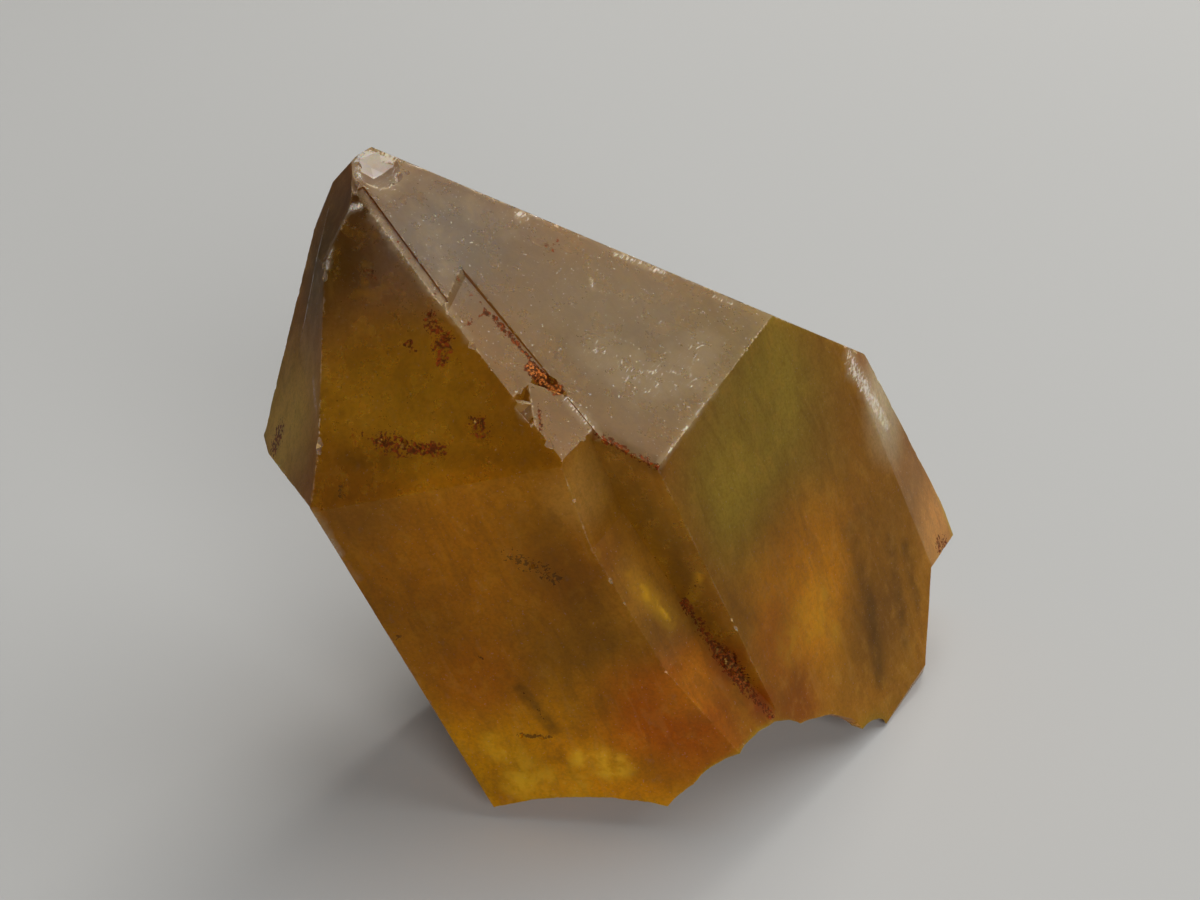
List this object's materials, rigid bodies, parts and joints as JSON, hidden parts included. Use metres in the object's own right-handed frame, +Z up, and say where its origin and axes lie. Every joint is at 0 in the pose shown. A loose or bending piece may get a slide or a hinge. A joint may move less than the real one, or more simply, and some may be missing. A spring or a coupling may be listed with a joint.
{
  "type": "quartz crystal point",
  "caption": "Stubby stepped quartz crystal point standing on its broken base with the tip up and leaning; smoky yellow citrine, translucent, for display.",
  "frame": {"origin": "centre of the bounding box in plan, on the surface it rests on", "axes": "+Z up from the rest surface, -Y towards the broad front face, +X towards the broken right end; the tip leans towards -X"},
  "size_m": [0.0356, 0.0218, 0.0303],
  "materials": {
    "citrine": "glossy natural crystal faces, slightly etched and stained"
  },
  "bodies": {
    "root": {"crystal_point": "citrine"}
  },
  "joints": []
}
